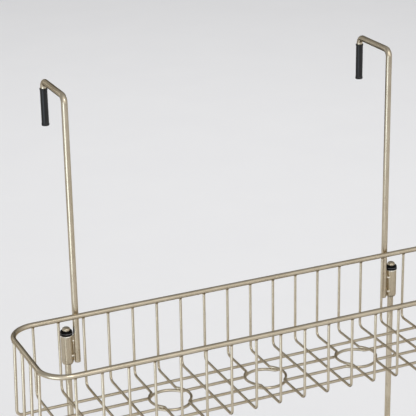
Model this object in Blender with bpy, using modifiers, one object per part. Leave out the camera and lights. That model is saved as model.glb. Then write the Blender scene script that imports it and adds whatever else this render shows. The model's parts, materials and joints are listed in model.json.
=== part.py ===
"""Two-tier shower caddy that hooks over the top of a shower door.

Two hook rods carry the upper wire basket. Each hook rod has a sleeve welded beside it, and an upright
slides in each sleeve. The uprights carry the lower basket and hang by their end caps on rubber bushings.

Frame: metres, +Z up, +Y towards the door, so the user stands on the -Y side.
Origin: midway between the hooks, where the door's front face meets its top edge.
"""
import math

import bmesh
import bpy
from mathutils import Vector

GAP = 0.0003            # clearance kept wherever two pieces touch or are welded

# Stock
ROD_R = 0.0030          # hook rods and uprights
RIM_R = 0.0025          # basket rims
LONG_R = 0.0014         # wires that run along a basket
CROSS_R = 0.00125       # wires that run front to back

# Upper basket, measured between wire centre lines
CROSS_PITCH = 0.025
CROSS_COUNT = 18
RIM_LENGTH = 19.04 * CROSS_PITCH
RIM_DEPTH = 0.1163
RIM_CORNER_R = 0.025
UPPER_HEIGHT = 0.0740   # from the rim down to the cross wires of the floor
LONG_COUNT = 4
LONG_PITCH = RIM_DEPTH / (LONG_COUNT + 1)
LONG_SPLAY = 0.002      # how far the end walls lean outwards at the floor
WIRE_BEND_R = 0.005

# Round openings in the upper floor, for bottles that stand on their caps
RING_R = 0.020
RING_FILLET_R = 0.004
RING_STEP = 4 * CROSS_PITCH
RING_CROSS_WIRES = {5: -1, 6: 1, 9: -1, 10: 1, 13: -1, 14: 1}   # wire number: side of its ring
RING_LONG_WIRES = {2: 1, 3: -1}

# Hook rods
HOOK_X = 0.1682
HOOK_RISE = 0.2140      # from the rim up to the hook's top run
HOOK_DEPTH = 0.0580     # between the front and rear legs
HOOK_REAR_DROP = 0.042
HOOK_BEND_R = 0.0065
ROD_TAIL = 0.050        # from the rim down to the rod's lower end

# Rubber sleeve on the rear leg of each hook
PAD_R = 0.0038
PAD_END = 0.0010

# Sleeves, bushings and uprights
UPRIGHT_X = 0.1776
UPRIGHT_BEHIND_ROD = 0.0016
SLEEVE_R = 0.0058
SLEEVE_BORE_R = 0.0048
SLEEVE_NECK_R = 0.0034
SLEEVE_TOP = -0.0201    # height from the upper rim
SLEEVE_LENGTH = 0.0299
SLEEVE_LIP_R = 0.0061   # rolled lip round the top
SLEEVE_LIP = 0.0014
SLEEVE_EDGE = 0.0003    # chamfers on the lip
SLEEVE_SWAGE = 0.0016   # length of the lower end that is drawn in
SLEEVE_END_R = 0.0048   # outer radius of that end
WELD_R = 0.0012
WELD_DROPS = (0.0073, 0.0228)
BUSHING_R = 0.0061
BUSHING_BORE_R = 0.0033
BUSHING_HEIGHT = 0.0039
BUSHING_PLUG = 0.006
CAP_R = 0.0038
CAP_HEIGHT = 0.0033
CAP_WALL = 0.0005
CAP_CROWN = 0.0017      # rise of the dome

# Lower basket
TIER_DROP = 0.240       # from the upper rim to the lower rim
LOWER_HEIGHT = 0.050
LOWER_CROSS_COUNT = 14
LOWER_CROSS_SPAN = 17 * CROSS_PITCH
UPRIGHT_TAIL = 0.077    # from the lower rim down to the upright's end

# Suction cups on the lower ends of the uprights
CUP_DROP = 0.067        # from the lower rim to the cup's axis
CUP_REACH = 0.0165      # from the upright's axis to the lip's face
CUP_R = 0.020
CUP_LIP_R = 0.0155      # inner radius of the flat lip
CUP_LIP_DEPTH = 0.0012
CUP_HOLLOW_DEPTH = 0.0042
CUP_BACK_R = 0.014      # where the back of the disc steepens towards the neck
CUP_BACK_DEPTH = 0.0040
CUP_NECK_R = 0.0042
CUP_KNOB_R = 0.0065
CUP_KNOB_NEAR = 0.012   # the knob's two ends, measured from the lip's face
CUP_KNOB_FAR = 0.022
CUP_KNOB_EDGE = 0.001
CUP_BORE_R = 0.0033     # hole through the knob for the upright

# Accessory hooks under the lower basket
SMALL_HOOK_XS = (-0.150, -0.075, 0.075, 0.150)
SMALL_HOOK_DROP = 0.020
SMALL_HOOK_BEND_R = 0.006
SMALL_HOOK_TIP = 0.007

# Derived places
TOP_Z = ROD_R
ROD_Y = -ROD_R
UPPER_RIM_Z = TOP_Z - HOOK_RISE
UPPER_BACK_Y = ROD_Y - ROD_R - GAP - RIM_R
UPPER_MID_Y = UPPER_BACK_Y - RIM_DEPTH / 2
UPRIGHT_Y = ROD_Y + UPRIGHT_BEHIND_ROD
LOWER_RIM_Z = UPPER_RIM_Z - TIER_DROP
LOWER_BACK_Y = UPRIGHT_Y - ROD_R - GAP - RIM_R
LOWER_MID_Y = LOWER_BACK_Y - RIM_DEPTH / 2
WIRE_TOP = -RIM_R - GAP
SLEEVE_Z = UPPER_RIM_Z + SLEEVE_TOP
BUSHING_Z = SLEEVE_Z + GAP
CAP_Z = BUSHING_Z + BUSHING_HEIGHT + GAP

# Facets
ROD_RESOLUTION = 4      # bevel resolution 4 gives 12 sides
WIRE_RESOLUTION = 2     # bevel resolution 2 gives 8 sides
TURN_STEPS = 20
WIRE_BEND_STEPS = 2
ROD_BEND_STEPS = 4
RIM_BEND_STEPS = 5
RING_STEPS = 6
FILLET_STEPS = 2
SMALL_HOOK_STEPS = 6
DOME_STEPS = 3


def arc(centre, radius, start, end, steps):
    """Points on a circle, from one angle to another, both ends included."""
    points = []
    for i in range(steps + 1):
        angle = start + (end - start) * i / steps
        points.append((centre[0] + radius * math.cos(angle), centre[1] + radius * math.sin(angle)))
    return points


def material(name, colour, roughness, metallic, alpha=1.0):
    mat = bpy.data.materials.new(name)
    mat.use_nodes = True
    shader = mat.node_tree.nodes["Principled BSDF"]
    shader.inputs["Base Color"].default_value = (*colour, 1.0)
    shader.inputs["Roughness"].default_value = roughness
    shader.inputs["Metallic"].default_value = metallic
    shader.inputs["Alpha"].default_value = alpha
    return mat


def place(obj, collection, mat, location, parent):
    collection.objects.link(obj)
    if mat:
        obj.data.materials.clear()
        obj.data.materials.append(mat)
    obj.parent = parent
    obj.location = Vector(location) - (parent.location if parent else Vector())


def wire_curve(name, points, radius, resolution, cyclic=False):
    """A round wire along straight runs between points."""
    curve = bpy.data.curves.new(name, "CURVE")
    curve.dimensions = "3D"
    curve.bevel_depth = radius
    curve.bevel_resolution = resolution
    curve.use_fill_caps = True
    spline = curve.splines.new("POLY")
    spline.points.add(len(points) - 1)
    for point, place_at in zip(spline.points, points):
        point.co = (*place_at, 1.0)
    spline.use_cyclic_u = cyclic
    return curve


def turned(name, profile, closed):
    """A solid turned about its own Z from (radius, height) points, down the outer side."""
    mesh = bpy.data.meshes.new(name)
    shape = bmesh.new()
    verts = [shape.verts.new((radius, 0.0, height)) for radius, height in profile]
    for first, second in zip(verts, verts[1:]):
        shape.edges.new((first, second))
    if closed:
        shape.edges.new((verts[-1], verts[0]))
    shape.to_mesh(mesh)
    shape.free()
    obj = bpy.data.objects.new(name, mesh)
    screw = obj.modifiers.new("Turn", "SCREW")
    screw.steps = TURN_STEPS
    screw.render_steps = TURN_STEPS
    screw.use_merge_vertices = True
    screw.merge_threshold = 0.00001
    return obj


def rod_tool(name, collection, start, end, radius):
    """A plain cylinder between two points, used to cut or to join."""
    start = Vector(start)
    span = Vector(end) - start
    mesh = bpy.data.meshes.new(name)
    shape = bmesh.new()
    bmesh.ops.create_cone(
        shape, cap_ends=True, segments=TURN_STEPS, radius1=radius, radius2=radius, depth=span.length
    )
    shape.to_mesh(mesh)
    shape.free()
    tool = bpy.data.objects.new(name, mesh)
    collection.objects.link(tool)
    tool.rotation_mode = "QUATERNION"
    tool.rotation_quaternion = span.to_track_quat("Z", "Y")
    tool.location = start + span / 2
    tool.hide_render = True
    tool.display_type = "WIRE"
    return tool


def boolean(obj, tool, operation):
    modifier = obj.modifiers.new(operation.title(), "BOOLEAN")
    modifier.operation = operation
    modifier.solver = "EXACT"
    modifier.object = tool


def ring_detour(centre, offset, side):
    """A wire's way round one side of a ring.

    The wire's straight line passes the ring's centre at the given offset. Returns (along, across)
    points, where across is measured from that straight line.
    """
    reach = RING_R + RING_FILLET_R
    height = offset + RING_FILLET_R
    run = math.sqrt(reach ** 2 - height ** 2)
    turn = math.atan2(height, run)
    way_in = arc((-run, height), RING_FILLET_R, -math.pi / 2, -turn, FILLET_STEPS)
    round_ring = arc((0.0, 0.0), RING_R, math.pi - turn, turn, RING_STEPS)
    way_out = arc((run, height), RING_FILLET_R, turn - math.pi, -math.pi / 2, FILLET_STEPS)
    points = way_in + round_ring[1:-1] + way_out
    return [(centre + along, side * (across - offset)) for along, across in points]


def basket_wire(rim_span, splay, floor_z, detours):
    """A wire that drops from the rim, crosses the floor and rises to the rim again.

    Returns (along, across, height) points.
    """
    half_span = rim_span / 2 + splay
    near = arc((WIRE_BEND_R - half_span, floor_z + WIRE_BEND_R), WIRE_BEND_R,
               math.pi, 1.5 * math.pi, WIRE_BEND_STEPS)
    far = arc((half_span - WIRE_BEND_R, floor_z + WIRE_BEND_R), WIRE_BEND_R,
              1.5 * math.pi, 2 * math.pi, WIRE_BEND_STEPS)
    points = [(-rim_span / 2, 0.0, WIRE_TOP)]
    points += [(along, 0.0, height) for along, height in near]
    points += [(along, across, floor_z) for along, across in detours]
    points += [(along, 0.0, height) for along, height in far]
    points.append((rim_span / 2, 0.0, WIRE_TOP))
    return points


def cross_curve(name, floor_z, side=0):
    """A front-to-back wire, which bows round a ring when side is -1 or 1."""
    detour = ring_detour(0.0, CROSS_PITCH / 2, side) if side else []
    points = basket_wire(RIM_DEPTH, 0.0, floor_z, detour)
    path = [(across, along, height) for along, across, height in points]
    return wire_curve(name, path, CROSS_R, WIRE_RESOLUTION)


def long_curve(name, floor_z, side=0):
    """A wire along the basket, which bows round the three rings when side is -1 or 1."""
    detours = []
    if side:
        for centre in (-RING_STEP, 0.0, RING_STEP):
            detours += ring_detour(centre, LONG_PITCH / 2, side)
    points = basket_wire(RIM_LENGTH, LONG_SPLAY, floor_z, detours)
    path = [(along, across, height) for along, across, height in points]
    return wire_curve(name, path, LONG_R, WIRE_RESOLUTION)


def rim_curve(name):
    """A closed rounded rectangle, centred on its own origin."""
    half_x = RIM_LENGTH / 2 - RIM_CORNER_R
    half_y = RIM_DEPTH / 2 - RIM_CORNER_R
    corners = ((half_x, half_y), (-half_x, half_y), (-half_x, -half_y), (half_x, -half_y))
    path = []
    for i, corner in enumerate(corners):
        start = i * math.pi / 2
        for x, y in arc(corner, RIM_CORNER_R, start, start + math.pi / 2, RIM_BEND_STEPS):
            path.append((x, y, 0.0))
    return wire_curve(name, path, RIM_R, ROD_RESOLUTION, cyclic=True)


def build_basket(tier, collection, mat, parent, centre, depth, count, span, ring_cross, ring_long):
    """A rim, the cross wires that hang from its long sides and the long wires beneath them."""
    rim = bpy.data.objects.new(tier + "_rim", rim_curve(tier + "_rim"))
    place(rim, collection, mat, centre, parent)

    curves = {side: cross_curve(f"{tier}_cross_{side}", -depth, side) for side in {0, *ring_cross.values()}}
    for number in range(1, count + 1):
        wire = bpy.data.objects.new(f"{tier}_cross_wire_{number:02d}", curves[ring_cross.get(number, 0)])
        x = span * ((number - 1) / (count - 1) - 0.5)
        place(wire, collection, mat, centre + Vector((x, 0.0, 0.0)), parent)

    long_z = -depth - CROSS_R - GAP - LONG_R
    for number in range(1, LONG_COUNT + 1):
        name = f"{tier}_long_wire_{number}"
        wire = bpy.data.objects.new(name, long_curve(name, long_z, ring_long.get(number, 0)))
        y = RIM_DEPTH / 2 - number * LONG_PITCH
        place(wire, collection, mat, centre + Vector((0.0, y, 0.0)), parent)


def hook_curve():
    """Up the front of the door, over its top edge and down behind, from the rod's lower end."""
    rear_y = HOOK_DEPTH
    front = arc((HOOK_BEND_R, -HOOK_BEND_R), HOOK_BEND_R, math.pi, math.pi / 2, ROD_BEND_STEPS)
    rear = arc((rear_y - HOOK_BEND_R, -HOOK_BEND_R), HOOK_BEND_R, math.pi / 2, 0.0, ROD_BEND_STEPS)
    path = [(0.0, 0.0, -HOOK_RISE - ROD_TAIL)]
    path += [(0.0, y, z) for y, z in front + rear]
    path.append((0.0, rear_y, -HOOK_REAR_DROP))
    return wire_curve("hook_rod", path, ROD_R, ROD_RESOLUTION)


def pad_profile():
    """A thin cup, open at the top, that covers the rear leg and its end."""
    bore = ROD_R + GAP
    top = HOOK_REAR_DROP - HOOK_BEND_R - 2 * GAP
    floor = -GAP
    bottom = floor - PAD_END
    chamfer = PAD_END / 2
    return [
        (bore, top), (PAD_R, top), (PAD_R, bottom + chamfer), (PAD_R - chamfer, bottom),
        (0.0, bottom), (0.0, floor), (bore, floor),
    ]


def sleeve_profile():
    """A tube with a rolled lip, drawn in at its lower end to guide the upright. Height 0 is its top."""
    low = -SLEEVE_LENGTH
    drawn_in = low + SLEEVE_SWAGE
    halfway = low + SLEEVE_SWAGE / 2
    return [
        (SLEEVE_BORE_R, 0.0), (SLEEVE_LIP_R - SLEEVE_EDGE, 0.0), (SLEEVE_LIP_R, -SLEEVE_EDGE),
        (SLEEVE_LIP_R, -SLEEVE_LIP), (SLEEVE_R, -SLEEVE_LIP - SLEEVE_EDGE),
        (SLEEVE_R, drawn_in), (SLEEVE_R - SLEEVE_EDGE, halfway), (SLEEVE_END_R, low),
        (SLEEVE_NECK_R, low), (SLEEVE_NECK_R, halfway), (SLEEVE_BORE_R, drawn_in),
    ]


def bushing_profile():
    """A rubber bushing: two bands above the sleeve and a plug inside it. Height 0 is its seat."""
    edge = 0.0004
    groove = 0.0005
    middle = BUSHING_HEIGHT / 2
    plug_r = SLEEVE_BORE_R - GAP
    return [
        (BUSHING_BORE_R, BUSHING_HEIGHT), (BUSHING_R - 2 * edge, BUSHING_HEIGHT),
        (BUSHING_R - edge / 2, BUSHING_HEIGHT - edge), (BUSHING_R - edge / 2, middle + edge),
        (BUSHING_R - groove, middle), (BUSHING_R, middle - edge), (BUSHING_R, edge),
        (BUSHING_R - edge, 0.0), (plug_r, 0.0), (plug_r, -BUSHING_PLUG), (BUSHING_BORE_R, -BUSHING_PLUG),
    ]


def cap_profile():
    """A domed end cap, open below, that the upright's end stands in. Height 0 is its seat."""
    bore = CAP_R - CAP_WALL
    shoulder = CAP_HEIGHT - CAP_CROWN
    dome = [(0.0, CAP_HEIGHT)]
    for i in range(1, DOME_STEPS + 1):
        angle = math.pi / 2 * (1 - i / DOME_STEPS)
        dome.append((CAP_R * math.cos(angle), shoulder + CAP_CROWN * math.sin(angle)))
    return dome + [(CAP_R, 0.0), (bore, 0.0), (bore, shoulder), (0.0, shoulder)]


def cup_profile():
    """Suction cup about its own Z: the lip's face at height 0, the hollow in it, the knob below."""
    edge = CUP_KNOB_EDGE
    hollow = [(0.0, -CUP_HOLLOW_DEPTH)]
    for i in range(1, DOME_STEPS):
        angle = math.pi / 2 * i / DOME_STEPS
        hollow.append((CUP_LIP_R * math.sin(angle), -CUP_HOLLOW_DEPTH * math.cos(angle)))
    return hollow + [
        (CUP_LIP_R, 0.0), (CUP_R, 0.0), (CUP_R, -CUP_LIP_DEPTH), (CUP_BACK_R, -CUP_BACK_DEPTH),
        (CUP_NECK_R + edge, edge - CUP_KNOB_NEAR), (CUP_NECK_R, -CUP_KNOB_NEAR),
        (CUP_KNOB_R - edge, -CUP_KNOB_NEAR), (CUP_KNOB_R, -CUP_KNOB_NEAR - edge),
        (CUP_KNOB_R, edge - CUP_KNOB_FAR), (CUP_KNOB_R - edge, -CUP_KNOB_FAR), (0.0, -CUP_KNOB_FAR),
    ]


def small_hook_curve():
    """A J-shaped accessory hook: straight down, round to the front and up. Height 0 is its top."""
    centre = (-SMALL_HOOK_BEND_R, -SMALL_HOOK_DROP)
    path = [(0.0, 0.0, 0.0)]
    for y, z in arc(centre, SMALL_HOOK_BEND_R, 0.0, -math.pi, SMALL_HOOK_STEPS):
        path.append((0.0, y, z))
    path.append((0.0, -2 * SMALL_HOOK_BEND_R, -SMALL_HOOK_DROP + SMALL_HOOK_TIP))
    return wire_curve("accessory_hook", path, LONG_R, WIRE_RESOLUTION)


def build_hooks(collection, nickel, rubber, parent):
    curve = hook_curve()
    for name, side in (("left", -1), ("right", 1)):
        x = side * HOOK_X
        rod = bpy.data.objects.new("hook_rod_" + name, curve)
        place(rod, collection, nickel, (x, ROD_Y, TOP_Z), parent)
        pad = turned("hook_pad_" + name, pad_profile(), closed=True)
        place(pad, collection, rubber, (x, ROD_Y + HOOK_DEPTH, TOP_Z - HOOK_REAR_DROP), parent)


def build_slides(collection, tools, nickel, rubber, upper, lower):
    """The sleeves with their welds, the bushings, and the uprights with their end caps."""
    upright_top = CAP_Z + CAP_HEIGHT - CAP_CROWN - GAP
    upright_end = LOWER_RIM_Z - UPRIGHT_TAIL
    upright = wire_curve("upright", [(0, 0, 0), (0, 0, upright_end - upright_top)], ROD_R, ROD_RESOLUTION)
    for name, side in (("left", -1), ("right", 1)):
        axis = Vector((side * UPRIGHT_X, UPRIGHT_Y, 0.0))
        sleeve = turned("sleeve_" + name, sleeve_profile(), closed=True)
        place(sleeve, collection, nickel, axis + Vector((0.0, 0.0, SLEEVE_Z)), upper)
        to_rod = Vector((side * HOOK_X, ROD_Y, 0.0)) - axis
        weld_start = to_rod.normalized() * (SLEEVE_R + SLEEVE_BORE_R) / 2
        weld_end = to_rod.normalized() * (to_rod.length - ROD_R - GAP)
        for number, drop in enumerate(WELD_DROPS, 1):
            level = axis + Vector((0.0, 0.0, SLEEVE_Z - drop))
            weld = rod_tool(f"weld_{name}_{number}", tools, level + weld_start, level + weld_end, WELD_R)
            boolean(sleeve, weld, "UNION")

        bushing = turned("bushing_" + name, bushing_profile(), closed=True)
        place(bushing, collection, rubber, axis + Vector((0.0, 0.0, BUSHING_Z)), upper)
        cap = turned("end_cap_" + name, cap_profile(), closed=False)
        place(cap, collection, nickel, axis + Vector((0.0, 0.0, CAP_Z)), lower)
        rod = bpy.data.objects.new("upright_" + name, upright)
        place(rod, collection, nickel, axis + Vector((0.0, 0.0, upright_top)), lower)


def build_cups(collection, tools, vinyl, lower):
    level = LOWER_RIM_Z - CUP_DROP
    for name, side in (("left", -1), ("right", 1)):
        x = side * UPRIGHT_X
        cup = turned("suction_cup_" + name, cup_profile(), closed=False)
        place(cup, collection, vinyl, (x, UPRIGHT_Y + CUP_REACH, level), lower)
        cup.rotation_euler = (-math.pi / 2, 0.0, 0.0)
        bore = rod_tool("cup_bore_" + name, tools, (x, UPRIGHT_Y, level - CUP_R),
                        (x, UPRIGHT_Y, level + CUP_R), CUP_BORE_R)
        boolean(cup, bore, "DIFFERENCE")


def build_small_hooks(collection, nickel, lower):
    curve = small_hook_curve()
    y = LOWER_BACK_Y - LONG_COUNT * LONG_PITCH
    top = LOWER_RIM_Z - LOWER_HEIGHT - CROSS_R - 2 * GAP - 2 * LONG_R
    for number, x in enumerate(SMALL_HOOK_XS, 1):
        hook = bpy.data.objects.new(f"accessory_hook_{number}", curve)
        place(hook, collection, nickel, (x, y, top), lower)


def shade_round_pieces(collection):
    for obj in collection.objects:
        if obj.type == "MESH":
            for modifier in obj.modifiers:
                if modifier.type == "SCREW":
                    modifier.use_smooth_shade = True


def main():
    for obj in list(bpy.data.objects):
        bpy.data.objects.remove(obj, do_unlink=True)
    scene = bpy.context.scene
    parts = bpy.data.collections.new("shower_caddy")
    tools = bpy.data.collections.new("cutters")
    scene.collection.children.link(parts)
    scene.collection.children.link(tools)

    nickel = material("satin_nickel", (0.50, 0.45, 0.36), 0.32, 1.0)
    rubber = material("black_rubber", (0.012, 0.012, 0.013), 0.55, 0.0)
    vinyl = material("clear_vinyl", (0.80, 0.83, 0.84), 0.18, 0.0, alpha=0.45)

    upper = bpy.data.objects.new("upper_tier_frame", None)
    parts.objects.link(upper)
    lower = bpy.data.objects.new("lower_tier_slide", None)
    parts.objects.link(lower)
    lower.location = (0.0, UPRIGHT_Y, 0.0)

    upper_centre = Vector((0.0, UPPER_MID_Y, UPPER_RIM_Z))
    lower_centre = Vector((0.0, LOWER_MID_Y, LOWER_RIM_Z))
    build_hooks(parts, nickel, rubber, upper)
    build_slides(parts, tools, nickel, rubber, upper, lower)
    build_basket("upper", parts, nickel, upper, upper_centre, UPPER_HEIGHT,
                 CROSS_COUNT, (CROSS_COUNT - 1) * CROSS_PITCH, RING_CROSS_WIRES, RING_LONG_WIRES)
    build_basket("lower", parts, nickel, lower, lower_centre, LOWER_HEIGHT,
                 LOWER_CROSS_COUNT, LOWER_CROSS_SPAN, {}, {})
    build_cups(parts, tools, vinyl, lower)
    build_small_hooks(parts, nickel, lower)
    shade_round_pieces(parts)
    bpy.context.view_layer.update()


main()
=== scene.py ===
"""Looks for the over-the-door shower caddy: round wires with weld beads, satin nickel, rubber and vinyl.

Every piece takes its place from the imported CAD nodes. Lengths are in metres.
"""
import json
import math

import bmesh
import bpy
from mathutils import Matrix, Vector


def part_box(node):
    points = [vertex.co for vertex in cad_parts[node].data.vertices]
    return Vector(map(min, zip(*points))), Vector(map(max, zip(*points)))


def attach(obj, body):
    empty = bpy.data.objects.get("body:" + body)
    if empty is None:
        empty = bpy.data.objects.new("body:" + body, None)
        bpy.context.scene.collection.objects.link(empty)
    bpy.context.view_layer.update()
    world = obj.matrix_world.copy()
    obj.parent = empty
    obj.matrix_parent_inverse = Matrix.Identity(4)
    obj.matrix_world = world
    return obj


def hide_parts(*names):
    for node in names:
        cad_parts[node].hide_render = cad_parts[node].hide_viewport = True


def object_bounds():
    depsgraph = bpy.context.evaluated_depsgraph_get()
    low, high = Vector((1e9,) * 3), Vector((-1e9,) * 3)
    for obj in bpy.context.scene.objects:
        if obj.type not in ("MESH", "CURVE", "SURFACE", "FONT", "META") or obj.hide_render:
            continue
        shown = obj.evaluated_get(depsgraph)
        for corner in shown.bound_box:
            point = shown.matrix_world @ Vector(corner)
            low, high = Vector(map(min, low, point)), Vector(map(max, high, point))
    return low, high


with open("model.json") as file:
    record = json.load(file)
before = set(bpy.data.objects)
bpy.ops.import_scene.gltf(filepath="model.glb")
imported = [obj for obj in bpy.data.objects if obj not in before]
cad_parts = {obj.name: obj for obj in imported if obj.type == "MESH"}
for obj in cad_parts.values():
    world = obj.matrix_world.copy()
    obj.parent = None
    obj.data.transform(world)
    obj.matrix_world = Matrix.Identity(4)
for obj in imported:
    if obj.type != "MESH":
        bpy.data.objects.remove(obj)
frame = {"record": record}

CAD_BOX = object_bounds()

# Stock, as in the CAD
ROD_R = 0.0030
RIM_R = 0.0025
LONG_R = 0.0014
CROSS_R = 0.00125
GAP = 0.0003
RIM_CORNER_R = 0.025
WIRE_BEND_R = 0.005
HOOK_BEND_R = 0.0065
RING_R = 0.020
RING_FILLET_R = 0.004
SMALL_HOOK_BEND_R = 0.006
SMALL_HOOK_TIP = 0.007
SLEEVE_BORE_R = 0.0048
SLEEVE_NECK_R = 0.0034
PAD_R = 0.0038
PAD_END = 0.0010        # thickness of the pad's closed end
ROD_IN_PAD = 0.0013     # height of the hook rod's end over the pad's
CAP_R = 0.0038
CAP_WALL = 0.0005
CAP_CROWN = 0.0017      # rise of the dome
UPPER_CROSS_WIRES = 18
LOWER_CROSS_WIRES = 14
LONG_WIRES = 4          # in each basket
SMALL_HOOKS = 4
RING_CROSS_WIRES = {5: -1, 6: 1, 9: -1, 10: 1, 13: -1, 14: 1}   # wire number: side of its ring
RING_LONG_WIRES = {2: 1, 3: -1}

# Sleeve, a little slimmer than the CAD solid
SLEEVE_R = 0.0056
SLEEVE_LIP_R = 0.0059
SLEEVE_LIP = 0.0014     # height of the rolled lip round the top
SLEEVE_HIGHLIGHT_BAND = 0.0013  # height of the band on the lip painted bright as a highlight line
SLEEVE_SWAGE = 0.0016   # length of the lower end that is drawn in
SLEEVE_END_R = 0.0048   # outer radius of that end

# Welds between each sleeve and its hook rod, as drops from the sleeve's top
WELD_DROPS = (0.0073, 0.0228)
WELD_R = 0.00135
WELD_SUNK = 0.0012      # how far a bead's ends go into the tube and the rod
SEAM_R = 0.0012
SEAM_START = 0.0022     # height of the seam's lower end over the sleeve's
SEAM_SHORT = 0.0046     # how much shorter than the sleeve it is
SEAM_SHIFT = 0.0004     # from the middle of the gap: towards the rod, and towards the door
FRONT_DROP_HALVES = (0.0021, 0.0011, 0.0012)
FRONT_DROP_REACH = 0.0032   # from the sleeve's axis towards the user
# Drops of solder on the side that faces the user: (share of the way to the rod, drop)
FRONT_DROPS = {"left": ((0.44, 0.0212),), "right": tuple((0.53, drop) for drop in WELD_DROPS)}

# Weld beads, as shares of a radius
BEAD_FLARE = 0.75       # how much it spreads along a rod
BEAD_NARROW = 0.30      # how much it narrows across it
CROSSING_SUNK = 0.2     # where a bead's ends lie, from a wire's axis
RING_BEAD = 0.62        # size of the beads round a bottle ring
ROD_BEAD = 0.72         # size of the beads between rods and rims

# Collars and rim seams
COLLAR_LOW = 0.0016     # below the rim's surface
COLLAR_HEIGHT = 0.0021
COLLAR_FLARE = 0.62
RIM_SEAM_AT = 0.36      # share of the rim's length
RIM_SEAM_RISE = 0.00016
RIM_SEAM_SPREAD = 0.0011

# Suction cup
CUP_LIP_R = 0.0155      # inner radius of the flat lip
CUP_HOLLOW = 0.0042     # depth of the hollow
CUP_KNOB_R = 0.0065
CUP_KNOB_NEAR = 0.0120  # the knob's end, measured from the lip's face
CUP_EDGE = 0.0010       # size of its rounded edges
CUP_GROOVE = 0.0046     # from the knob's outer end to the groove round it
# From the knob to the disc: (radius, distance from the lip's face)
CUP_NECK = ((0.0042, 0.0116), (0.0048, 0.0100), (0.0085, 0.0066), (0.0140, 0.0040))

# Fits, and the rounding of cut ends
BORE_FIT = 0.0001       # between a bore and what it holds
ROD_EDGE = 0.0011
HOOK_EDGE = 0.0009
WIRE_EDGE = 0.0002

# Smoothness
SHARP_ANGLE = 35.0      # degrees; an edge that turns more stays sharp
ROD_SIDES = 28
RIM_SIDES = 24
WIRE_SIDES = 18
BEND_STEPS = 12
RING_STEPS = 26
FILLET_STEPS = 5
END_STEPS = 5
TURN_SIDES = 48
DOME_STEPS = 9
HOLLOW_STEPS = 10
BEAD_SIDES = 16
BEAD_LEVELS = 8

# Studio, and the camera as seen from the middle of the upper rim
FLOOR_DROP = 0.26       # from the lowest point of the object
CAMERA_PLACE = (-0.605463, -1.231070, 0.620160)
CAMERA_YAW = 24.0025    # degrees
CAMERA_PITCH = 20.7503
CAMERA_ROLL = -1.0923
CAMERA_LENS = 136.63    # millimetres

X = Vector((1.0, 0.0, 0.0))
Y = Vector((0.0, 1.0, 0.0))
Z = Vector((0.0, 0.0, 1.0))


# ---------------------------------------------------------------- shapes

def new_shape():
    """A mesh with a grain coordinate on every vertex."""
    shape = bmesh.new()
    shape.verts.layers.float_vector.new("grain")
    return shape


def add_ring(shape, centre, across, up, width, height, sides, along):
    """One cross-section. Its grain coordinate is the place on a straightened wire."""
    grain = shape.verts.layers.float_vector["grain"]
    ring = []
    for i in range(sides):
        angle = 2 * math.pi * i / sides
        w = width * math.cos(angle)
        h = height * math.sin(angle)
        vert = shape.verts.new(centre + across * w + up * h)
        vert[grain] = (along, w, h)
        ring.append(vert)
    return ring


def skin(shape, rings, closed=False):
    """Faces between successive rings, with a cap on each open end."""
    pairs = list(zip(rings, rings[1:]))
    if closed:
        pairs.append((rings[-1], rings[0]))
    for first, second in pairs:
        count = len(first)
        for i in range(count):
            j = (i + 1) % count
            shape.faces.new((first[i], first[j], second[j], second[i]))
    if not closed:
        shape.faces.new(list(reversed(rings[0])))
        shape.faces.new(rings[-1])


def rounded(corners, radius, steps, closed=False):
    """A path through corners, each turned into an arc of that radius."""
    corners = [Vector(c) for c in corners]
    count = len(corners)
    path = []
    for i, corner in enumerate(corners):
        if not closed and i in (0, count - 1):
            path.append(corner)
            continue
        back = (corners[i - 1] - corner).normalized()
        on = (corners[(i + 1) % count] - corner).normalized()
        half = back.angle(on) / 2
        centre = corner + (back + on).normalized() * radius / math.sin(half)
        start = corner + back * radius / math.tan(half) - centre
        end = corner + on * radius / math.tan(half) - centre
        turn = start.angle(end)
        for step in range(steps + 1):
            share = step / steps
            mixed = start * math.sin((1 - share) * turn) + end * math.sin(share * turn)
            path.append(centre + mixed / math.sin(turn))
    return path


def tube(shape, path, radius, sides, closed=False, edge=None, seam=None):
    """A round rod along a path. Open ends are rounded off by edge; seam is (place along, rise, spread)."""
    path = [Vector(p) for p in path]
    edge = radius * 0.45 if edge is None else edge
    count = len(path)
    tangents = []
    for i in range(count):
        before = path[i - 1] if closed or i else path[0]
        after = path[(i + 1) % count] if closed or i < count - 1 else path[-1]
        tangents.append((after - before).normalized())
    normal = tangents[0].orthogonal().normalized()
    frames = []
    along = 0.0
    for i in range(count):
        if i:
            normal = tangents[i - 1].rotation_difference(tangents[i]) @ normal
            along += (path[i] - path[i - 1]).length
        normal = (normal - tangents[i] * normal.dot(tangents[i])).normalized()
        frames.append((path[i], tangents[i], normal.copy(), along))

    rings = []
    if not closed:
        point, tangent, normal, _ = frames[0]
        for step in range(END_STEPS):
            angle = math.pi / 2 * (1 - step / END_STEPS)
            centre = point + tangent * edge * (1 - math.sin(angle))
            size = radius - edge * (1 - math.cos(angle))
            rings.append(add_ring(shape, centre, normal, tangent.cross(normal), size, size, sides, 0.0))
        frames[0] = (point + tangent * edge, tangent, normal, edge)
        point, tangent, normal, along = frames[-1]
        frames[-1] = (point - tangent * edge, tangent, normal, along - edge)
    for point, tangent, normal, along in frames:
        size = radius
        if seam:
            size += seam[1] * math.exp(-((along - seam[0]) / seam[2]) ** 2)
        rings.append(add_ring(shape, point, normal, tangent.cross(normal), size, size, sides, along))
    if not closed:
        for step in range(1, END_STEPS + 1):
            angle = math.pi / 2 * step / END_STEPS
            centre = frames[-1][0] + tangent * edge * math.sin(angle)
            size = radius - edge * (1 - math.cos(angle))
            rings.append(add_ring(shape, centre, normal, tangent.cross(normal), size, size, sides, along))
    skin(shape, rings, closed)


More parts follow.
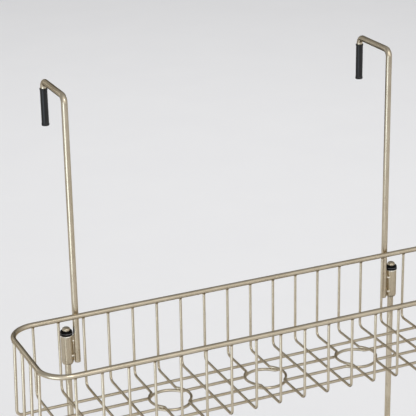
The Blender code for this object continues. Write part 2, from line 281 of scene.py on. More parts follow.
def turned(shape, origin, axis, profile, closed):
    """A solid turned about an axis through origin from (radius, height) points."""
    across = axis.orthogonal().normalized()
    rings = []
    for radius, height in profile:
        rings.append(add_ring(shape, origin + axis * height, across, axis.cross(across),
                              max(radius, 0.00002), max(radius, 0.00002), TURN_SIDES, height))
    skin(shape, rings, closed)


def soft_profile(points, radius, steps=4, closed=False):
    """A profile with its corners rounded."""
    path = rounded([(r, h, 0.0) for r, h in points], radius, steps, closed)
    return [(p.x, p.y) for p in path]


def bead(shape, low, high, low_axis, high_axis, low_r, high_r):
    """A weld bead between two crossing rods: it runs out along each one where it meets it."""
    normal = (high - low).normalized()
    side = low_axis.cross(normal).normalized()
    rings = []
    for level in range(BEAD_LEVELS + 1):
        share = level / BEAD_LEVELS
        centre = low.lerp(high, share)
        reach = abs(2 * share - 1)
        radius = low_r * (1 - share) + high_r * share
        thick = radius * (0.86 + 0.05 * math.sin(share * 9.0))
        flare = 1.0 + BEAD_FLARE * reach ** 2
        narrow = 1.0 - BEAD_NARROW * reach ** 2
        if share < 0.5:
            along_low, along_side = flare, narrow
        else:
            turned_by = abs(high_axis.dot(side))
            along_side = flare * turned_by + narrow * (1 - turned_by)
            along_low = narrow * turned_by + flare * (1 - turned_by)
        rings.append(add_ring(shape, centre, low_axis, side, thick * along_low, thick * along_side,
                              BEAD_SIDES, share * 0.002))
    skin(shape, rings)


def blob(shape, centre, along, up, half_length, half_height, half_depth):
    """A small drop of weld, flattened on the seam between two rods."""
    out = along.cross(up)
    rings = []
    for level in range(BEAD_LEVELS + 1):
        angle = math.pi * (level / BEAD_LEVELS - 0.5)
        size = max(math.cos(angle), 0.02)
        rings.append(add_ring(shape, centre + along * half_length * math.sin(angle), up, out,
                              half_height * size, half_depth * size, BEAD_SIDES, level * 0.0002))
    skin(shape, rings)


def collar(shape, foot, axis, radius):
    """A small weld fillet where a wire's end meets the rim above it: foot is on the rim's surface."""
    rings = []
    across = axis.orthogonal().normalized()
    up = axis.cross(across)
    for level in range(BEAD_LEVELS):
        share = level / (BEAD_LEVELS - 1)
        size = radius * (1.02 + COLLAR_FLARE * share ** 2.2)
        centre = foot + axis * (-COLLAR_LOW + COLLAR_HEIGHT * share)
        rings.append(add_ring(shape, centre, across, up, size, size, BEAD_SIDES, share * 0.002))
    skin(shape, rings)


# ---------------------------------------------------------------- materials

def node(tree, kind, **values):
    made = tree.nodes.new(kind)
    for name, value in values.items():
        setattr(made, name, value)
    return made


def base_material(name, colour, roughness, metallic):
    mat = bpy.data.materials.new(name)
    mat.use_nodes = True
    shader = mat.node_tree.nodes["Principled BSDF"]
    shader.inputs["Base Color"].default_value = (*colour, 1.0)
    shader.inputs["Roughness"].default_value = roughness
    shader.inputs["Metallic"].default_value = metallic
    return mat, mat.node_tree, shader


def grain_vector(tree, scale):
    """The straightened-wire coordinate, stretched so that a pattern runs along the wire."""
    source = node(tree, "ShaderNodeAttribute", attribute_name="grain")
    mapping = node(tree, "ShaderNodeMapping")
    mapping.inputs["Scale"].default_value = scale
    tree.links.new(source.outputs["Vector"], mapping.inputs["Vector"])
    return mapping.outputs["Vector"]


def place_vector(tree):
    return node(tree, "ShaderNodeTexCoord").outputs["Object"]


def noise(tree, vector, scale, detail=3.0, rough=0.5):
    made = node(tree, "ShaderNodeTexNoise")
    made.inputs["Scale"].default_value = scale
    made.inputs["Detail"].default_value = detail
    made.inputs["Roughness"].default_value = rough
    tree.links.new(vector, made.inputs["Vector"])
    return made.outputs["Fac"]


def spread(tree, value, low, high):
    made = node(tree, "ShaderNodeMapRange")
    made.inputs["From Min"].default_value = 0.25
    made.inputs["From Max"].default_value = 0.75
    made.inputs["To Min"].default_value = low
    made.inputs["To Max"].default_value = high
    tree.links.new(value, made.inputs["Value"])
    return made.outputs["Result"]


def add(tree, first, second):
    made = node(tree, "ShaderNodeMath", operation="ADD")
    tree.links.new(first, made.inputs[0])
    tree.links.new(second, made.inputs[1])
    return made.outputs[0]


def tint(tree, factor, dark, light):
    made = node(tree, "ShaderNodeMix", data_type="RGBA")
    made.inputs["A"].default_value = (*dark, 1.0)
    made.inputs["B"].default_value = (*light, 1.0)
    tree.links.new(factor, made.inputs["Factor"])
    return made.outputs["Result"]


def bump(tree, height, distance, strength=1.0, under=None):
    made = node(tree, "ShaderNodeBump")
    made.inputs["Distance"].default_value = distance
    made.inputs["Strength"].default_value = strength
    tree.links.new(height, made.inputs["Height"])
    if under:
        tree.links.new(under, made.inputs["Normal"])
    return made.outputs["Normal"]


def nickel_material(name, dark, light, roughness, lump):
    """Satin nickel: drawn lines along the wire, cloudy plating and a slightly uneven surface."""
    mat, tree, shader = base_material(name, light, roughness, 1.0)
    lines = noise(tree, grain_vector(tree, (45.0, 2600.0, 2600.0)), 1.0, 4.0, 0.6)
    streaks = noise(tree, grain_vector(tree, (14.0, 700.0, 700.0)), 1.0, 2.0)
    clouds = noise(tree, place_vector(tree), 55.0, 3.0)
    peel = noise(tree, place_vector(tree), 900.0, 2.0)
    cloudy = spread(tree, clouds, 0.0, 0.55)
    streaky = spread(tree, streaks, 0.0, 0.45)
    colour_share = spread(tree, add(tree, cloudy, streaky), 0.0, 1.0)
    tree.links.new(tint(tree, colour_share, dark, light), shader.inputs["Base Color"])
    base_rough = spread(tree, clouds, roughness - 0.04, roughness + 0.04)
    line_rough = spread(tree, lines, -0.05, 0.05)
    tree.links.new(add(tree, base_rough, line_rough), shader.inputs["Roughness"])
    uneven = bump(tree, peel, lump)
    tree.links.new(bump(tree, lines, 0.000012, 0.8, uneven), shader.inputs["Normal"])
    shader.inputs["Specular Tint"].default_value = (0.55, 0.50, 0.42, 1.0)
    return mat


def rubber_material(name, shade, shine):
    """Matt rubber with a fine skin."""
    mat, tree, shader = base_material(name, (shade, shade, shade), 0.5, 0.0)
    skin_grain = noise(tree, place_vector(tree), 2400.0, 3.0)
    clouds = noise(tree, place_vector(tree), 180.0, 3.0)
    dark = (shade, shade, shade)
    light = (shade * 2.5, shade * 2.5, shade * 2.6)
    tree.links.new(tint(tree, clouds, dark, light), shader.inputs["Base Color"])
    tree.links.new(spread(tree, clouds, 0.30, 0.42), shader.inputs["Roughness"])
    shader.inputs["Specular IOR Level"].default_value = shine
    tree.links.new(bump(tree, skin_grain, 0.00003, 0.6), shader.inputs["Normal"])
    return mat


def painted_highlight_line_material():
    """A paler band round a bushing: a painted highlight line on the rubber."""
    mat, tree, shader = base_material("painted_highlight_line", (0.07, 0.07, 0.075), 0.45, 0.0)
    clouds = noise(tree, place_vector(tree), 420.0, 3.0)
    tree.links.new(tint(tree, clouds, (0.05, 0.05, 0.055), (0.11, 0.11, 0.12)), shader.inputs["Base Color"])
    tree.links.new(bump(tree, clouds, 0.00003, 0.6), shader.inputs["Normal"])
    return mat


def vinyl_material():
    """Clear, slightly clouded vinyl."""
    mat, tree, shader = base_material("soft_clear_vinyl", (0.90, 0.93, 0.93), 0.14, 0.0)
    shader.inputs["Transmission Weight"].default_value = 0.9
    shader.inputs["IOR"].default_value = 1.45
    clouds = noise(tree, place_vector(tree), 140.0, 3.0)
    wobble = noise(tree, place_vector(tree), 500.0, 2.0)
    tree.links.new(tint(tree, clouds, (0.86, 0.90, 0.90), (0.95, 0.97, 0.97)), shader.inputs["Base Color"])
    tree.links.new(spread(tree, clouds, 0.10, 0.22), shader.inputs["Roughness"])
    tree.links.new(bump(tree, wobble, 0.00005, 0.5), shader.inputs["Normal"])
    return mat


NICKEL = nickel_material("satin_nickel_wire", (0.56, 0.48, 0.355), (0.66, 0.58, 0.445), 0.29, 0.00003)
# A lighter copy of the nickel for the welds: the extra lightness is a painted highlight.
WELD_AND_HIGHLIGHT = nickel_material("satin_nickel_weld", (0.62, 0.54, 0.41), (0.74, 0.66, 0.53), 0.32, 0.00012)
# A lighter copy of the nickel: real solder on the beads and drops, made brighter as a painted highlight,
# and a painted highlight band on the sleeves' lips.
SOLDER_AND_HIGHLIGHT = nickel_material("solder_with_painted_highlight", (0.86, 0.81, 0.70), (0.96, 0.92, 0.83), 0.38, 0.00012)
RUBBER = rubber_material("soft_rubber", 0.008, 0.35)
BLACK_RUBBER = rubber_material("black_rubber", 0.001, 0.08)
# The paler band on the bushings is a painted highlight line.
RUBBER_HIGHLIGHT_LINE = painted_highlight_line_material()
VINYL = vinyl_material()


# ---------------------------------------------------------------- pieces

def finish_piece(name, shape, mat, body, replaces=(), band=None):
    """Make the object; band is (low z, high z, material) for faces that take another material."""
    bmesh.ops.recalc_face_normals(shape, faces=shape.faces)
    if band:
        for face in shape.faces:
            face.material_index = int(band[0] < face.calc_center_median().z < band[1])
    mesh = bpy.data.meshes.new(name)
    shape.to_mesh(mesh)
    shape.free()
    mesh.shade_smooth()
    mesh.set_sharp_from_angle(angle=math.radians(SHARP_ANGLE))
    mesh.materials.append(mat)
    if band:
        mesh.materials.append(band[2])
    piece = bpy.data.objects.new(name, mesh)
    bpy.context.scene.collection.objects.link(piece)
    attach(piece, body)
    if replaces:
        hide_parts(*replaces)
    return piece


def middle(cad_node):
    """The middle of a CAD node's box."""
    low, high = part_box(cad_node)
    return (low + high) / 2


def ring_detour(centre, offset, side):
    """A wire's way round one side of a bottle ring, as (along, across) points."""
    reach = RING_R + RING_FILLET_R
    height = offset + RING_FILLET_R
    run = math.sqrt(reach ** 2 - height ** 2)
    turn = math.atan2(height, run)

    def arc(middle_at, radius, start, end, steps):
        angles = [start + (end - start) * i / steps for i in range(steps + 1)]
        return [(middle_at[0] + radius * math.cos(a), middle_at[1] + radius * math.sin(a)) for a in angles]

    way_in = arc((-run, height), RING_FILLET_R, -math.pi / 2, -turn, FILLET_STEPS)
    round_ring = arc((0.0, 0.0), RING_R, math.pi - turn, turn, RING_STEPS)
    way_out = arc((run, height), RING_FILLET_R, turn - math.pi, -math.pi / 2, FILLET_STEPS)
    points = way_in + round_ring[1:-1] + way_out
    return [(centre + along, side * (across - offset)) for along, across in points]


def u_wire(left_top, left_floor, right_floor, right_top, side_axis, detours):
    """A wire that drops from the rim, crosses the floor and rises again."""
    turned_path = rounded((left_top, left_floor, right_floor, right_top), WIRE_BEND_R, BEND_STEPS)
    first_half = turned_path[:BEND_STEPS + 2]
    second_half = turned_path[BEND_STEPS + 2:]
    run = (right_floor - left_floor).normalized()
    mid = (left_floor + right_floor) / 2
    bowed = [mid + run * along + side_axis * across for along, across in detours]
    return first_half + bowed + second_half


class Tier:
    """The places that one basket's wires take from its CAD nodes."""

    def __init__(self, name, cross_count, ring_cross, ring_long):
        self.name = name
        self.body = name + "_tier"
        self.ring_cross = ring_cross
        self.ring_long = ring_long
        low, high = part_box(name + "_rim")
        self.rim_z = (low.z + high.z) / 2
        self.left = low.x + RIM_R
        self.right = high.x - RIM_R
        self.front = low.y + RIM_R
        self.back = high.y - RIM_R
        self.wire_top = self.rim_z - RIM_R - GAP
        first = middle(f"{name}_cross_wire_01").x
        last = middle(f"{name}_cross_wire_{cross_count:02d}").x
        self.cross_x = [first + (last - first) * i / (cross_count - 1) for i in range(cross_count)]
        self.cross_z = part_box(f"{name}_cross_wire_01")[0].z + CROSS_R
        long_low, long_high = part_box(name + "_long_wire_1")
        self.long_z = long_low.z + LONG_R
        self.long_left = long_low.x + LONG_R
        self.long_right = long_high.x - LONG_R
        back_y = middle(name + "_long_wire_1").y
        front_y = middle(f"{name}_long_wire_{LONG_WIRES}").y
        self.long_y = [back_y + (front_y - back_y) * i / (LONG_WIRES - 1) for i in range(LONG_WIRES)]


def build_rim(tier):
    """The closed rod loop, slightly thicker where its ends are welded together at the back."""
    shape = new_shape()
    corners = [Vector((x, y, tier.rim_z)) for x, y in (
        (tier.right, tier.back), (tier.left, tier.back), (tier.left, tier.front), (tier.right, tier.front))]
    path = rounded(corners, RIM_CORNER_R, 2 * BEND_STEPS, closed=True)
    seam_at = (tier.right - tier.left) * RIM_SEAM_AT
    after = 2 * BEND_STEPS
    start = path[after]
    straight = path[after + 1] - start
    extra = [start + straight.normalized() * (seam_at + 0.0006 * step) for step in range(-6, 7)]
    path = path[:after + 1] + extra + path[after + 1:]
    tube(shape, path, RIM_R, RIM_SIDES, closed=True,
         seam=(seam_at + RIM_CORNER_R * math.pi / 2, RIM_SEAM_RISE, RIM_SEAM_SPREAD))
    finish_piece(tier.name + "_rim_loop", shape, NICKEL, tier.body, (tier.name + "_rim",))


def build_cross_wires(tier):
    """The wires from front to back, some of them bowed round a bottle ring."""
    for number, x in enumerate(tier.cross_x, 1):
        side = tier.ring_cross.get(number, 0)
        half_pitch = (tier.cross_x[1] - tier.cross_x[0]) / 2
        detours = ring_detour(0.0, half_pitch, side) if side else []
        path = u_wire(Vector((x, tier.front, tier.wire_top)), Vector((x, tier.front, tier.cross_z)),
                      Vector((x, tier.back, tier.cross_z)), Vector((x, tier.back, tier.wire_top)),
                      X, detours)
        shape = new_shape()
        tube(shape, path, CROSS_R, WIRE_SIDES, edge=WIRE_EDGE)
        finish_piece(f"{tier.name}_cross_{number:02d}", shape, NICKEL, tier.body,
                     (f"{tier.name}_cross_wire_{number:02d}",))


def build_long_wires(tier, ring_xs):
    """The wires from end to end, under the cross wires."""
    for number, y in enumerate(tier.long_y, 1):
        side = tier.ring_long.get(number, 0)
        half_pitch = abs(tier.long_y[1] - tier.long_y[0]) / 2
        detours = []
        if side:
            for x in ring_xs:
                detours += ring_detour(x, half_pitch, side)
        path = u_wire(Vector((tier.left, y, tier.wire_top)), Vector((tier.long_left, y, tier.long_z)),
                      Vector((tier.long_right, y, tier.long_z)), Vector((tier.right, y, tier.wire_top)),
                      Y, detours)
        shape = new_shape()
        tube(shape, path, LONG_R, WIRE_SIDES, edge=WIRE_EDGE)
        finish_piece(f"{tier.name}_long_{number}", shape, NICKEL, tier.body,
                     (f"{tier.name}_long_wire_{number}",))


def crossing_welds(tier, ring_xs):
    """Beads where the cross wires lie on the long wires."""
    shape = new_shape()
    low_z = tier.long_z + LONG_R * CROSSING_SUNK
    high_z = tier.cross_z - CROSS_R * CROSSING_SUNK
    for i, x in enumerate(tier.cross_x, 1):
        for j, y in enumerate(tier.long_y, 1):
            if i in tier.ring_cross and j in tier.ring_long:
                continue
            bead(shape, Vector((x, y, low_z)), Vector((x, y, high_z)), X, Y, LONG_R, CROSS_R)
    mid_y = (tier.long_y[1] + tier.long_y[2]) / 2
    for ring_x in ring_xs:
        for quarter in range(4):
            angle = math.pi / 4 + quarter * math.pi / 2
            out = Vector((math.cos(angle), math.sin(angle), 0.0))
            way = Vector((-out.y, out.x, 0.0))
            at = Vector((ring_x, mid_y, 0.0)) + out * RING_R
            bead(shape, at + Z * low_z, at + Z * high_z, way, way, LONG_R * RING_BEAD, CROSS_R * RING_BEAD)
    finish_piece(tier.name + "_floor_welds", shape, WELD_AND_HIGHLIGHT, tier.body)


def rim_welds(tier):
    """Collars where the wires' ends meet the underside of the rim."""
    shape = new_shape()
    foot_z = tier.rim_z - RIM_R
    for x in tier.cross_x:
        for y in (tier.front, tier.back):
            collar(shape, Vector((x, y, foot_z)), Z, CROSS_R)
    for y in tier.long_y:
        for x in (tier.left, tier.right):
            collar(shape, Vector((x, y, foot_z)), Z, LONG_R)
    finish_piece(tier.name + "_rim_welds", shape, WELD_AND_HIGHLIGHT, tier.body)


def build_hook(name):
    """The bent rod over the door, and the rubber pad on its rear leg."""
    low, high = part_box("hook_rod_" + name)
    x = (low.x + high.x) / 2
    front_y = low.y + ROD_R
    rear_y = high.y - ROD_R
    top_z = high.z - ROD_R
    pad_low, pad_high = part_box("hook_pad_" + name)
    corners = [Vector((x, front_y, low.z)), Vector((x, front_y, top_z)), Vector((x, rear_y, top_z)),
               Vector((x, rear_y, pad_low.z + ROD_IN_PAD))]
    shape = new_shape()
    tube(shape, rounded(corners, HOOK_BEND_R, 2 * BEND_STEPS), ROD_R, ROD_SIDES, edge=ROD_EDGE)
    finish_piece("hook_" + name, shape, NICKEL, "upper_tier", ("hook_rod_" + name,))

    bore = ROD_R + BORE_FIT
    length = pad_high.z - pad_low.z
    profile = soft_profile([
        (0.0, PAD_END), (bore, PAD_END), (bore, length), (PAD_R, length), (PAD_R, length - 0.0016),
        (PAD_R - 0.0003, length - 0.0019), (PAD_R - 0.0003, 0.0022), (PAD_R, 0.0016), (PAD_R - 0.0002, 0.0),
        (0.0, 0.0),
    ], 0.00018, 3)
    shape = new_shape()
    turned(shape, Vector((x, rear_y, pad_low.z)), Z, profile, closed=False)
    finish_piece("hook_pad_sleeve_" + name, shape, RUBBER, "upper_tier",
                 ("hook_pad_" + name,))


def build_sleeve(name, axis_at):
    """A tube with a rolled lip round its top and a lower end that is drawn in."""
    low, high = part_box("sleeve_" + name)
    length = high.z - low.z
    profile = soft_profile([
        (SLEEVE_BORE_R, length), (SLEEVE_LIP_R - 0.0004, length), (SLEEVE_LIP_R, length - 0.0005),
        (SLEEVE_LIP_R, length - 0.0010), (SLEEVE_R, length - SLEEVE_LIP),
        (SLEEVE_R, SLEEVE_SWAGE), (SLEEVE_R - 0.0004, 0.0007), (SLEEVE_END_R, 0.0),
        (SLEEVE_NECK_R, 0.0), (SLEEVE_NECK_R, 0.0009), (SLEEVE_BORE_R, 0.0018),
    ], 0.00022, 4, closed=True)
    shape = new_shape()
    turned(shape, Vector((axis_at.x, axis_at.y, low.z)), Z, profile, closed=True)
    # The band round the top of the lip takes the solder colour: a painted highlight line.
    finish_piece("sleeve_tube_" + name, shape, NICKEL, "upper_tier", ("sleeve_" + name,),
                 band=(high.z - SLEEVE_HIGHLIGHT_BAND, high.z + 0.001, SOLDER_AND_HIGHLIGHT))


def build_sleeve_welds(name, axis_at):
    """The seam, beads and drops that join a sleeve to its hook rod."""
    low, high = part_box("sleeve_" + name)
    length = high.z - low.z
    base = Vector((axis_at.x, axis_at.y, low.z))
    hook_x = middle("hook_rod_" + name).x
    hook_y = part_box("hook_rod_" + name)[0].y + ROD_R
    to_rod = Vector((hook_x - axis_at.x, hook_y - axis_at.y, 0.0))
    way = to_rod.normalized()

    mid_gap = (SLEEVE_R + to_rod.length - ROD_R) / 2
    seam_low = base + way * (mid_gap + SEAM_SHIFT) + Y * SEAM_SHIFT + Z * SEAM_START
    seam = new_shape()
    tube(seam, [seam_low, seam_low + Z * (length - SEAM_SHORT)], SEAM_R, BEAD_SIDES, edge=0.0004)
    finish_piece("sleeve_seam_" + name, seam, WELD_AND_HIGHLIGHT, "upper_tier")

    shape = new_shape()
    near = base + way * (SLEEVE_R - WELD_SUNK)
    far = base + way * (to_rod.length - ROD_R + WELD_SUNK)
    for drop in WELD_DROPS:
        rise = Z * (length - drop)
        bead(shape, near + rise, far + rise, Z, Z, WELD_R, WELD_R)
    for share, drop in FRONT_DROPS[name]:
        front = base + way * (to_rod.length * share) - Y * FRONT_DROP_REACH + Z * (length - drop)
        blob(shape, front, (way + Y * 0.35).normalized(), Z, *FRONT_DROP_HALVES)
    # Beads and drops take the lighter solder colour, which is partly painted highlight.
    finish_piece("sleeve_welds_" + name, shape, SOLDER_AND_HIGHLIGHT, "upper_tier")


def build_bushing(name, axis_at):
    """A rubber ring on the sleeve's lip, with a plug inside the tube and a step round it, where a paler
    band is painted as a highlight line.
    """
    low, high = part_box("bushing_" + name)
    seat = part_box("sleeve_" + name)[1].z
    radius = (high.x - low.x) / 2
    slim_r = radius - 0.0003
    plug_r = SLEEVE_BORE_R - BORE_FIT
    bore_r = ROD_R + 0.0002
    top = high.z - seat
    bottom = low.z - seat
    line_z = top * 0.52
    profile = soft_profile([
        (bore_r, top), (radius - 0.0008, top), (slim_r, top - 0.0006), (slim_r, line_z + 0.0003),
        (radius, line_z - 0.0001), (radius, 0.0003), (slim_r, 0.0001), (plug_r, 0.0001),
        (plug_r, bottom), (bore_r, bottom),
    ], 0.00015, 3, closed=True)
    shape = new_shape()
    turned(shape, Vector((axis_at.x, axis_at.y, seat)), Z, profile, closed=True)
    # The band at the step takes the paler rubber: a painted highlight line.
    finish_piece("rubber_bushing_" + name, shape, BLACK_RUBBER, "upper_tier",
                 ("bushing_" + name,),
                 band=(seat + line_z - 0.0002, seat + line_z + 0.0004, RUBBER_HIGHLIGHT_LINE))


def build_cap(name, axis_at):
    """A thin domed cap, open underneath."""
    low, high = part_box("end_cap_" + name)
    shoulder = high.z - low.z - CAP_CROWN
    inner_r = CAP_R - CAP_WALL
    profile = []
    for step in range(DOME_STEPS + 1):
        angle = math.pi / 2 * (1 - step / DOME_STEPS)
        radius = CAP_R * math.cos(angle) ** 0.85 if step else 0.0
        profile.append((radius, shoulder + CAP_CROWN * math.sin(angle)))
    profile += [(CAP_R, 0.0003), (CAP_R - 0.0003, 0.0),
                (inner_r, 0.0), (inner_r, shoulder), (0.0, shoulder)]
    shape = new_shape()
    turned(shape, Vector((axis_at.x, axis_at.y, low.z)), Z, profile, closed=False)
    finish_piece("dome_cap_" + name, shape, NICKEL, "lower_tier", ("end_cap_" + name,))


def build_slide(name):
    """Sleeve, bushing, end cap and upright on one side."""
    axis_at = middle("upright_" + name)
    build_sleeve(name, axis_at)
    build_sleeve_welds(name, axis_at)
    build_bushing(name, axis_at)
    build_cap(name, axis_at)

    low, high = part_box("upright_" + name)
    ends = [Vector((axis_at.x, axis_at.y, z)) for z in (low.z, high.z)]
    shape = new_shape()
    tube(shape, ends, ROD_R, ROD_SIDES, edge=ROD_EDGE)
    finish_piece("slide_rod_" + name, shape, NICKEL, "lower_tier", ("upright_" + name,))


def rod_welds():
    """Beads where the hook rods meet the upper rim and the uprights meet the lower one."""
    for tier_name, rod_name in (("upper", "hook_rod_"), ("lower", "upright_")):
        shape = new_shape()
        low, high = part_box(tier_name + "_rim")
        rim_back = high.y - RIM_R
        rim_z = (low.z + high.z) / 2
        for name in ("left", "right"):
            rod_low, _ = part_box(rod_name + name)
            x = middle(rod_name + name).x
            rim_point = Vector((x, rim_back + RIM_R * 0.3, rim_z))
            rod_point = Vector((x, rod_low.y + ROD_R * 0.5, rim_z))
            bead(shape, rim_point, rod_point, X, Z, RIM_R * ROD_BEAD, RIM_R * ROD_BEAD)
        finish_piece(tier_name + "_rod_welds", shape, WELD_AND_HIGHLIGHT, tier_name + "_tier")


def cut_bore(piece, start, end, radius):
    """Cut a round hole through a piece, from one point to another."""
    shape = new_shape()
    tube(shape, [start, end], radius, ROD_SIDES)
    bmesh.ops.recalc_face_normals(shape, faces=shape.faces)
    mesh = bpy.data.meshes.new("cup_bore")
    shape.to_mesh(mesh)
    shape.free()
    bore = bpy.data.objects.new("cup_bore", mesh)
    bpy.context.scene.collection.objects.link(bore)
    cut = piece.modifiers.new("Bore", "BOOLEAN")
    cut.operation = "DIFFERENCE"
    cut.object = bore
    bpy.context.view_layer.update()
    cut_piece = piece.evaluated_get(bpy.context.evaluated_depsgraph_get())
    cut_mesh = bpy.data.meshes.new_from_object(cut_piece)
    piece.modifiers.clear()
    piece.data = cut_mesh
    bpy.data.objects.remove(bore)


def build_cup(name):
    """A hollow clear disc, with a grooved knob behind it that the upright runs through."""
    low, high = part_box("suction_cup_" + name)
    centre = Vector((middle("suction_cup_" + name).x, high.y, (low.z + high.z) / 2))
    radius = (high.z - low.z) / 2
    depth = high.y - low.y
    groove_r = CUP_KNOB_R - 0.0005
    knob_end = depth - CUP_KNOB_NEAR
    neck = [(neck_r, depth - behind) for neck_r, behind in CUP_NECK]
    outside = soft_profile([
        (0.0, 0.0), (CUP_KNOB_R - CUP_EDGE, 0.0), (CUP_KNOB_R, CUP_EDGE),
        (CUP_KNOB_R, CUP_GROOVE - 0.0004), (groove_r, CUP_GROOVE), (CUP_KNOB_R, CUP_GROOVE + 0.0004),
        (CUP_KNOB_R, knob_end - CUP_EDGE), (CUP_KNOB_R - CUP_EDGE, knob_end), *neck,
        (radius - 0.0004, depth - CUP_EDGE), (radius, depth), (CUP_LIP_R, depth),
    ], 0.0003, 4)
    hollow = []
    for step in range(1, HOLLOW_STEPS + 1):
        angle = math.pi / 2 * step / HOLLOW_STEPS
        hollow.append((CUP_LIP_R * math.cos(angle), depth - CUP_HOLLOW * math.sin(angle)))
    shape = new_shape()
    turned(shape, centre - Y * depth, Y, outside + hollow, closed=False)
    piece = finish_piece("vinyl_cup_" + name, shape, VINYL, "lower_tier",
                         ("suction_cup_" + name,))
    on_axis = Vector((centre.x, middle("upright_" + name).y, centre.z))
    cut_bore(piece, on_axis - Z * radius, on_axis + Z * radius, ROD_R + BORE_FIT)


def build_accessory_hooks():
    """Four J-shaped wires under the lower basket, each with a collar where it meets the floor."""
    welds = new_shape()
    for number in range(1, SMALL_HOOKS + 1):
        low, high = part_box(f"accessory_hook_{number}")
        x = (low.x + high.x) / 2
        shank_y = high.y - LONG_R
        tip_y = low.y + LONG_R
        bottom = low.z + LONG_R
        tip_z = bottom + SMALL_HOOK_BEND_R + SMALL_HOOK_TIP
        corners = [Vector((x, shank_y, high.z)), Vector((x, shank_y, bottom)), Vector((x, tip_y, bottom)),
                   Vector((x, tip_y, tip_z))]
        bend_r = SMALL_HOOK_BEND_R - 0.00001    # a little less, so that the two bends don't meet
        shape = new_shape()
        tube(shape, rounded(corners, bend_r, 2 * BEND_STEPS), LONG_R, WIRE_SIDES, edge=HOOK_EDGE)
        finish_piece(f"small_hook_{number}", shape, NICKEL, "lower_tier",
                     (f"accessory_hook_{number}",))
        collar(welds, Vector((x, shank_y, high.z + GAP)), Z, LONG_R)
    finish_piece("small_hook_welds", welds, WELD_AND_HIGHLIGHT, "lower_tier")


# ---------------------------------------------------------------- studio

def area_light(name, place, target, width, height, power, colour=(1.0, 1.0, 1.0)):
    data = bpy.data.lights.new(name, "AREA")
    data.shape = "RECTANGLE"
    data.size = width
    data.size_y = height
    data.energy = power
    data.color = colour
    lamp = bpy.data.objects.new(name, data)
    bpy.context.scene.collection.objects.link(lamp)
    lamp.location = place
    lamp.rotation_euler = (Vector(target) - Vector(place)).to_track_quat("-Z", "Y").to_euler()
    lamp.visible_camera = False
    return lamp


def dark_card(name, centre, normal, width, height, shade):
    """A dark screen beside the set. Only shiny and clear surfaces show it."""
    mesh = bpy.data.meshes.new(name)
    shape = bmesh.new()
    bmesh.ops.create_grid(shape, x_segments=1, y_segments=1, size=0.5)
    shape.to_mesh(mesh)
    shape.free()
    card = bpy.data.objects.new(name, mesh)
    bpy.context.scene.collection.objects.link(card)
    card.location = centre
    card.scale = (width, height, 1.0)
    card.rotation_euler = Vector(normal).to_track_quat("Z", "Y").to_euler()
    mat, _, _ = base_material(name, shade, 1.0, 0.0)
    mesh.materials.append(mat)
    card.visible_camera = False
    card.visible_diffuse = False
    card.visible_shadow = False


def build_floor(floor_z):
    mesh = bpy.data.meshes.new("studio_floor")
    shape = bmesh.new()
    bmesh.ops.create_grid(shape, x_segments=8, y_segments=8, size=20.0)
    shape.to_mesh(mesh)
    shape.free()
    floor = bpy.data.objects.new("studio_floor", mesh)
    bpy.context.scene.collection.objects.link(floor)
    floor.location.z = floor_z
    mat, tree, shader = base_material("pale_floor", (0.86, 0.86, 0.87), 0.7, 0.0)
    clouds = noise(tree, place_vector(tree), 6.0, 3.0)
    tree.links.new(tint(tree, clouds, (0.85, 0.85, 0.865), (0.88, 0.88, 0.89)), shader.inputs["Base Color"])
    mesh.materials.append(mat)


def build_sky():
    """A pale world that is darker behind the object than in front of it."""
    world = bpy.data.worlds.new("soft_studio")
    bpy.context.scene.world = world
    world.use_nodes = True
    tree = world.node_tree
    back = tree.nodes["Background"]
    direction = node(tree, "ShaderNodeTexCoord").outputs["Generated"]
    parts = node(tree, "ShaderNodeSeparateXYZ")
    tree.links.new(direction, parts.inputs[0])
    sky = node(tree, "ShaderNodeValToRGB")
    ramp = sky.color_ramp
    ramp.elements[0].color = (1.0, 1.0, 1.0, 1.0)
    ramp.elements[1].color = (0.42, 0.42, 0.42, 1.0)
    for place, level in ((0.25, 0.62), (0.5, 0.34), (0.75, 0.32)):
        ramp.elements.new(place).color = (level, level, level, 1.0)
    toward_back = node(tree, "ShaderNodeMapRange")
    toward_back.inputs["From Min"].default_value = -1.0
    toward_back.inputs["From Max"].default_value = 1.0
    tree.links.new(parts.outputs["Y"], toward_back.inputs["Value"])
    tree.links.new(toward_back.outputs["Result"], sky.inputs["Fac"])
    tree.links.new(sky.outputs["Color"], back.inputs["Color"])
    back.inputs["Strength"].default_value = 1.15


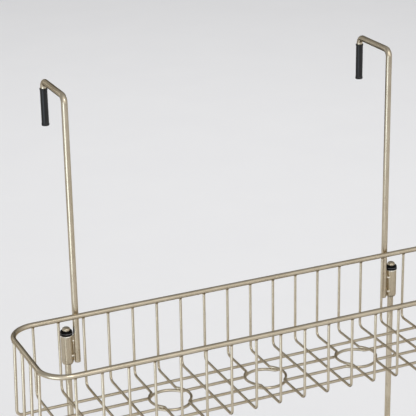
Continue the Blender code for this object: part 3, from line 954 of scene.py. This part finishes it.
def build_lights(floor_z):
    """The lamps, and the dark cards that the metal mirrors."""
    basket_at = (0.0, -0.05, -0.25)
    key = area_light("key", (0.9, -1.6, 1.6), (0.0, 0.0, -0.2), width=2.4, height=1.0, power=13.0)
    key.visible_glossy = False
    side = area_light("side", (-0.90, -0.53, -0.38), basket_at, width=0.6, height=0.58, power=2.8,
                      colour=(0.72, 0.86, 1.0))
    side.visible_diffuse = False
    area_light("sparkle", (-0.15, -1.15, 0.85), basket_at, width=0.3, height=0.3, power=3.5)
    wash = area_light("floor_wash", (0.8, 1.8, 2.2), (0.8, 1.9, floor_z), width=3.0, height=3.0, power=42.0)
    wash.visible_glossy = False

    toward_front = (0.0, -1.0, 0.0)
    dark_card("dark_high", (0.80, 1.25, 0.35), toward_front, width=1.5, height=1.0,
              shade=(0.15, 0.15, 0.14))
    dark_card("dark_below", (0.24, -0.05, floor_z + 0.01), Z, width=0.9, height=0.5,
              shade=(0.12, 0.12, 0.11))
    dark_card("dark_rail", (0.02, 0.35, -0.185), toward_front, width=0.62, height=0.15,
              shade=(0.05, 0.05, 0.05))
    rim_left = (-0.24, -0.06, -0.21)
    glow = area_light("rim_glow", (-0.86, 1.0, 0.29), rim_left, width=0.34, height=0.24, power=0.42)
    glow.visible_diffuse = False


def build_camera(basket):
    """A long lens, turned to the object's left and looking down at the upper basket."""
    yaw = math.radians(CAMERA_YAW)
    pitch = math.radians(CAMERA_PITCH)
    roll = math.radians(CAMERA_ROLL)
    forward = Vector((math.sin(yaw) * math.cos(pitch), math.cos(yaw) * math.cos(pitch), -math.sin(pitch)))
    right = Vector((math.cos(yaw), -math.sin(yaw), 0.0))
    up = right.cross(forward)
    right_rolled = right * math.cos(roll) + up * math.sin(roll)
    up_rolled = up * math.cos(roll) - right * math.sin(roll)
    data = bpy.data.cameras.new("camera")
    data.sensor_width = 36.0
    data.lens = CAMERA_LENS
    data.dof.use_dof = False
    data.clip_end = 100.0
    camera = bpy.data.objects.new("camera", data)
    bpy.context.scene.collection.objects.link(camera)
    axes = Matrix((right_rolled, up_rolled, -forward)).transposed()
    camera.matrix_world = Matrix.Translation(basket + Vector(CAMERA_PLACE)) @ axes.to_4x4()
    bpy.context.scene.camera = camera


def main():
    upper = Tier("upper", UPPER_CROSS_WIRES, RING_CROSS_WIRES, RING_LONG_WIRES)
    lower = Tier("lower", LOWER_CROSS_WIRES, {}, {})
    openings = frame["record"]["physics"]["openings"]
    rings = [o["box_m"] for o in openings if o["name"].startswith("bottle_ring")]
    ring_xs = sorted({round((low[0] + high[0]) / 2, 5) for low, high in rings})
    for tier, xs in ((upper, ring_xs), (lower, [])):
        build_rim(tier)
        build_cross_wires(tier)
        build_long_wires(tier, xs)
        crossing_welds(tier, xs)
        rim_welds(tier)
    for name in ("left", "right"):
        build_hook(name)
        build_slide(name)
        build_cup(name)
    rod_welds()
    build_accessory_hooks()
    floor_z = CAD_BOX[0].z - FLOOR_DROP
    build_floor(floor_z)
    build_sky()
    build_lights(floor_z)
    build_camera(middle("upper_rim"))
    bpy.context.scene.view_settings.view_transform = "Standard"


main()
